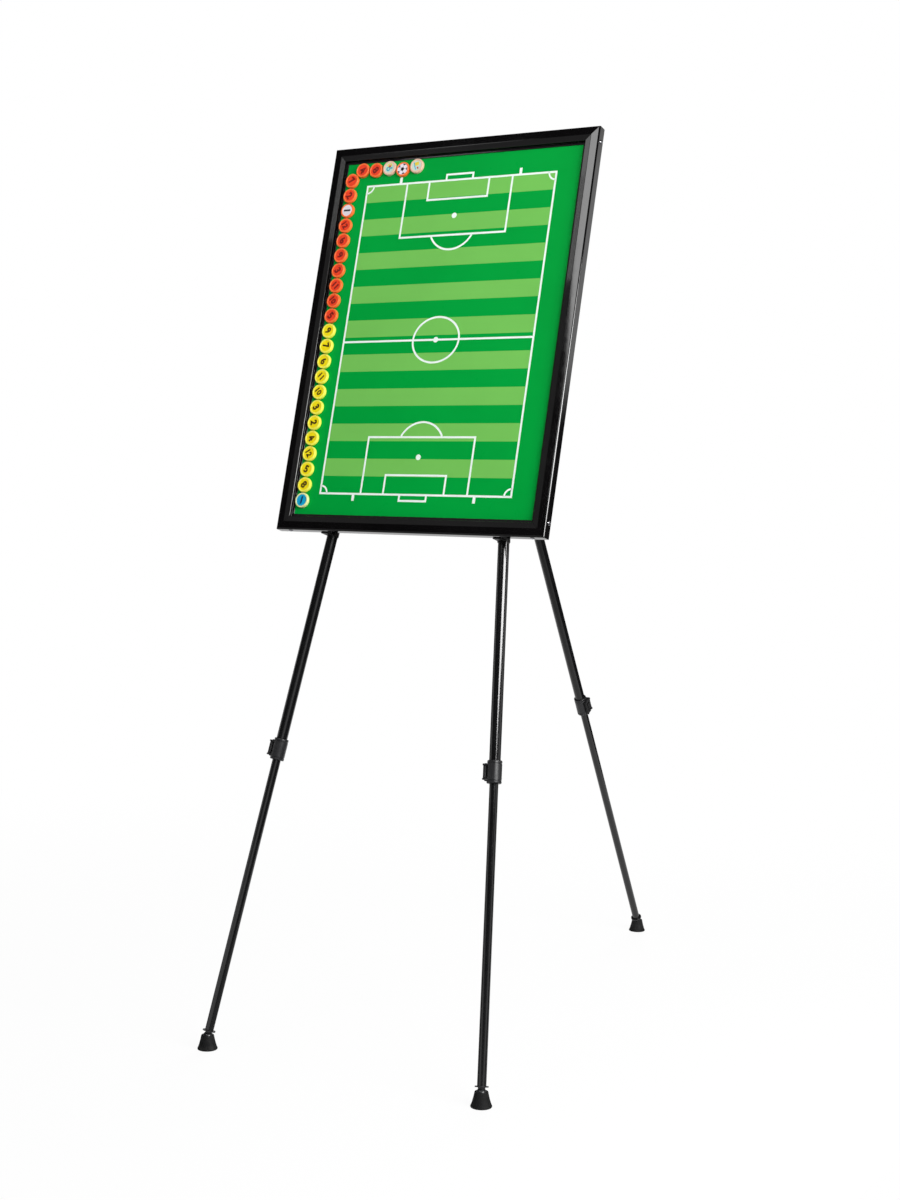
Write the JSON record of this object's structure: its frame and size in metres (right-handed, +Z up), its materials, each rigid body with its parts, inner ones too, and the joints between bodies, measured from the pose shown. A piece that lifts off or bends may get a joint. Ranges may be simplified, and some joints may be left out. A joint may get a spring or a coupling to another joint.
{
  "type": "football tactics board on a tripod easel",
  "caption": "Framed magnetic football tactics board with a printed pitch and disc magnets, resting on a folding tripod easel with telescopic flip-lock legs and tilting rubber feet.",
  "frame": {"origin": "on the floor, in the middle of the box round the three feet and the board", "axes": "+Z up, the board faces -Y and +X is to the right of someone looking at the board"},
  "size_m": [0.4832, 1.0132, 1.329],
  "materials": {
    "frame_black": "gloss black coated extrusion",
    "pitch_print": "printed and lacquered steel sheet",
    "panel_core": "hardboard, smooth brown face",
    "nylon_grey": "moulded nylon",
    "zinc_screw": "bright zinc plate",
    "tube_black": "semi-gloss black coated steel tube",
    "lock_plastic": "moulded black plastic, fine texture",
    "head_plastic": "moulded black plastic",
    "rivet_steel": "plain steel",
    "support_steel": "black coated pressed steel",
    "foot_rubber": "matt black rubber",
    "magnet_red": "gloss plastic cap",
    "magnet_yellow": "gloss plastic cap",
    "magnet_white": "gloss plastic cap",
    "magnet_blue": "gloss plastic cap",
    "magnet_picture": "gloss plastic cap with a printed face"
  },
  "bodies": {
    "head": {"easel_head": "head_plastic", "head_rivets": "rivet_steel"},
    "left_upper_leg": {"left_upper_tube": "tube_black", "left_lock_collar": "lock_plastic", "left_board_support": "support_steel"},
    "left_lever": {"left_lock_lever": "lock_plastic"},
    "left_lower_leg": {"left_lower_tube": "tube_black", "left_guide_bush": "nylon_grey", "left_foot_plug": "lock_plastic"},
    "left_foot": {"left_rubber_foot": "foot_rubber"},
    "right_upper_leg": {"right_upper_tube": "tube_black", "right_lock_collar": "lock_plastic", "right_board_support": "support_steel"},
    "right_lever": {"right_lock_lever": "lock_plastic"},
    "right_lower_leg": {"right_lower_tube": "tube_black", "right_guide_bush": "nylon_grey", "right_foot_plug": "lock_plastic"},
    "right_foot": {"right_rubber_foot": "foot_rubber"},
    "rear_upper_leg": {"rear_upper_tube": "tube_black", "rear_lock_collar": "lock_plastic"},
    "rear_lever": {"rear_lock_lever": "lock_plastic"},
    "rear_lower_leg": {"rear_lower_tube": "tube_black", "rear_guide_bush": "nylon_grey", "rear_foot_plug": "lock_plastic"},
    "rear_foot": {"rear_rubber_foot": "foot_rubber"},
    "board": {"frame_bottom_rail": "frame_black", "frame_right_rail": "frame_black", "frame_top_rail": "frame_black", "frame_left_rail": "frame_black", "corner_keys": "nylon_grey", "corner_screws": "zinc_screw", "pitch_sheet": "pitch_print", "backing_panel": "panel_core"},
    "red_magnet_seven_body": {"red_magnet_seven": "magnet_red"},
    "red_magnet_two_body": {"red_magnet_two": "magnet_red"},
    "white_keeper_magnet_body": {"white_keeper_magnet": "magnet_white"},
    "red_magnet_twelve_body": {"red_magnet_twelve": "magnet_red"},
    "red_magnet_six_body": {"red_magnet_six": "magnet_red"},
    "red_magnet_nine_body": {"red_magnet_nine": "magnet_red"},
    "red_magnet_three_body": {"red_magnet_three": "magnet_red"},
    "red_magnet_eleven_body": {"red_magnet_eleven": "magnet_red"},
    "red_magnet_ten_body": {"red_magnet_ten": "magnet_red"},
    "red_magnet_five_body": {"red_magnet_five": "magnet_red"},
    "yellow_magnet_nine_body": {"yellow_magnet_nine": "magnet_yellow"},
    "yellow_magnet_seven_body": {"yellow_magnet_seven": "magnet_yellow"},
    "yellow_magnet_six_body": {"yellow_magnet_six": "magnet_yellow"},
    "yellow_magnet_eleven_body": {"yellow_magnet_eleven": "magnet_yellow"},
    "yellow_magnet_ten_body": {"yellow_magnet_ten": "magnet_yellow"},
    "yellow_magnet_three_body": {"yellow_magnet_three": "magnet_yellow"},
    "yellow_magnet_two_body": {"yellow_magnet_two": "magnet_yellow"},
    "yellow_magnet_four_body": {"yellow_magnet_four": "magnet_yellow"},
    "yellow_magnet_twelve_body": {"yellow_magnet_twelve": "magnet_yellow"},
    "yellow_magnet_five_body": {"yellow_magnet_five": "magnet_yellow"},
    "yellow_magnet_eight_body": {"yellow_magnet_eight": "magnet_yellow"},
    "blue_keeper_magnet_body": {"blue_keeper_magnet": "magnet_blue"},
    "red_magnet_four_body": {"red_magnet_four": "magnet_red"},
    "red_magnet_eight_body": {"red_magnet_eight": "magnet_red"},
    "coach_magnet_body": {"coach_magnet": "magnet_picture"},
    "ball_magnet_body": {"ball_magnet": "magnet_picture"},
    "referee_magnet_body": {"referee_magnet": "magnet_picture"}
  },
  "joints": [
    {"name": "left_leg_fold", "type": "hinge", "parent": "head", "child": "left_upper_leg", "pos_m": [-0.091, -0.18124, 1.21129], "axis": [0, -0.9677, 0.2521], "range_deg": [0, 6.3]},
    {"name": "left_leg_slide", "type": "slide", "parent": "left_upper_leg", "child": "left_lower_leg", "axis": [0.1097, 0.2505, 0.9619], "range_m": [-0.207, 0.392]},
    {"name": "left_lever_flip", "type": "hinge", "parent": "left_upper_leg", "child": "left_lever", "pos_m": [-0.19276, -0.39139, 0.43033], "axis": [0.1097, 0.2505, 0.9619], "range_deg": [0, 105]},
    {"name": "left_foot_tilt", "type": "hinge", "parent": "left_lower_leg", "child": "left_foot", "pos_m": [-0.22714, -0.49207, 0.018], "axis": [1, 0, 0], "range_deg": [-45, 16]},
    {"name": "right_leg_fold", "type": "hinge", "parent": "head", "child": "right_upper_leg", "pos_m": [0.091, -0.18124, 1.21129], "axis": [0, 0.9677, -0.2521], "range_deg": [0, 6.3]},
    {"name": "right_leg_slide", "type": "slide", "parent": "right_upper_leg", "child": "right_lower_leg", "axis": [-0.1097, 0.2505, 0.9619], "range_m": [-0.207, 0.392]},
    {"name": "right_lever_flip", "type": "hinge", "parent": "right_upper_leg", "child": "right_lever", "pos_m": [0.16811, -0.39207, 0.42769], "axis": [-0.1097, 0.2505, 0.9619], "range_deg": [0, 105]},
    {"name": "right_foot_tilt", "type": "hinge", "parent": "right_lower_leg", "child": "right_foot", "pos_m": [0.22714, -0.49207, 0.018], "axis": [1, 0, 0], "range_deg": [-45, 16]},
    {"name": "rear_leg_fold", "type": "hinge", "parent": "head", "child": "rear_upper_leg", "pos_m": [0, -0.16271, 1.14756], "axis": [-1, 0, 0], "range_deg": [0, 44.2]},
    {"name": "rear_leg_slide", "type": "slide", "parent": "rear_upper_leg", "child": "rear_lower_leg", "axis": [0, -0.5015, 0.8652], "range_m": [-0.142, 0.457]},
    {"name": "rear_lever_flip", "type": "hinge", "parent": "rear_upper_leg", "child": "rear_lever", "pos_m": [0.0124, 0.25165, 0.44572], "axis": [0, -0.5015, 0.8652], "range_deg": [0, 105]},
    {"name": "rear_foot_tilt", "type": "hinge", "parent": "rear_lower_leg", "child": "rear_foot", "pos_m": [0, 0.49207, 0.018], "axis": [1, 0, 0], "range_deg": [-2, 60]},
    {"name": "board_lift", "type": "slide", "parent": "head", "child": "board", "axis": [0, 0.2521, 0.9677], "range_m": [0, 0.1]},
    {"name": "red_magnet_seven_pull", "type": "slide", "parent": "board", "child": "red_magnet_seven_body", "axis": [0, -0.9677, 0.2521], "range_m": [0, 0.03]},
    {"name": "red_magnet_two_move", "type": "slide", "parent": "board", "child": "red_magnet_two_body", "axis": [1, 0, 0], "range_m": [0, 0.34]},
    {"name": "white_keeper_magnet_move", "type": "slide", "parent": "board", "child": "white_keeper_magnet_body", "axis": [1, 0, 0], "range_m": [0, 0.34]},
    {"name": "red_magnet_twelve_move", "type": "slide", "parent": "board", "child": "red_magnet_twelve_body", "axis": [1, 0, 0], "range_m": [0, 0.34]},
    {"name": "red_magnet_six_move", "type": "slide", "parent": "board", "child": "red_magnet_six_body", "axis": [1, 0, 0], "range_m": [0, 0.34]},
    {"name": "red_magnet_nine_move", "type": "slide", "parent": "board", "child": "red_magnet_nine_body", "axis": [1, 0, 0], "range_m": [0, 0.34]},
    {"name": "red_magnet_three_move", "type": "slide", "parent": "board", "child": "red_magnet_three_body", "axis": [1, 0, 0], "range_m": [0, 0.34]},
    {"name": "red_magnet_eleven_move", "type": "slide", "parent": "board", "child": "red_magnet_eleven_body", "axis": [1, 0, 0], "range_m": [0, 0.34]},
    {"name": "red_magnet_ten_move", "type": "slide", "parent": "board", "child": "red_magnet_ten_body", "axis": [1, 0, 0], "range_m": [0, 0.34]},
    {"name": "red_magnet_five_move", "type": "slide", "parent": "board", "child": "red_magnet_five_body", "axis": [1, 0, 0], "range_m": [0, 0.34]},
    {"name": "yellow_magnet_nine_move", "type": "slide", "parent": "board", "child": "yellow_magnet_nine_body", "axis": [1, 0, 0], "range_m": [0, 0.34]},
    {"name": "yellow_magnet_seven_move", "type": "slide", "parent": "board", "child": "yellow_magnet_seven_body", "axis": [1, 0, 0], "range_m": [0, 0.34]},
    {"name": "yellow_magnet_six_move", "type": "slide", "parent": "board", "child": "yellow_magnet_six_body", "axis": [1, 0, 0], "range_m": [0, 0.34]},
    {"name": "yellow_magnet_eleven_move", "type": "slide", "parent": "board", "child": "yellow_magnet_eleven_body", "axis": [1, 0, 0], "range_m": [0, 0.34]},
    {"name": "yellow_magnet_ten_move", "type": "slide", "parent": "board", "child": "yellow_magnet_ten_body", "axis": [1, 0, 0], "range_m": [0, 0.34]},
    {"name": "yellow_magnet_three_move", "type": "slide", "parent": "board", "child": "yellow_magnet_three_body", "axis": [1, 0, 0], "range_m": [0, 0.34]},
    {"name": "yellow_magnet_two_move", "type": "slide", "parent": "board", "child": "yellow_magnet_two_body", "axis": [1, 0, 0], "range_m": [0, 0.34]},
    {"name": "yellow_magnet_four_move", "type": "slide", "parent": "board", "child": "yellow_magnet_four_body", "axis": [1, 0, 0], "range_m": [0, 0.34]},
    {"name": "yellow_magnet_twelve_move", "type": "slide", "parent": "board", "child": "yellow_magnet_twelve_body", "axis": [1, 0, 0], "range_m": [0, 0.34]},
    {"name": "yellow_magnet_five_move", "type": "slide", "parent": "board", "child": "yellow_magnet_five_body", "axis": [1, 0, 0], "range_m": [0, 0.34]},
    {"name": "yellow_magnet_eight_move", "type": "slide", "parent": "board", "child": "yellow_magnet_eight_body", "axis": [1, 0, 0], "range_m": [0, 0.34]},
    {"name": "blue_keeper_magnet_move", "type": "slide", "parent": "board", "child": "blue_keeper_magnet_body", "axis": [1, 0, 0], "range_m": [0, 0.34]},
    {"name": "red_magnet_four_pull", "type": "slide", "parent": "board", "child": "red_magnet_four_body", "axis": [0, -0.9677, 0.2521], "range_m": [0, 0.03]},
    {"name": "red_magnet_eight_move", "type": "slide", "parent": "board", "child": "red_magnet_eight_body", "axis": [0, -0.2521, -0.9677], "range_m": [0, 0.2]},
    {"name": "coach_magnet_move", "type": "slide", "parent": "board", "child": "coach_magnet_body", "axis": [0, -0.2521, -0.9677], "range_m": [0, 0.2]},
    {"name": "ball_magnet_move", "type": "slide", "parent": "board", "child": "ball_magnet_body", "axis": [0, -0.2521, -0.9677], "range_m": [0, 0.2]},
    {"name": "referee_magnet_move", "type": "slide", "parent": "board", "child": "referee_magnet_body", "axis": [0, -0.2521, -0.9677], "range_m": [0, 0.2]}
  ]
}
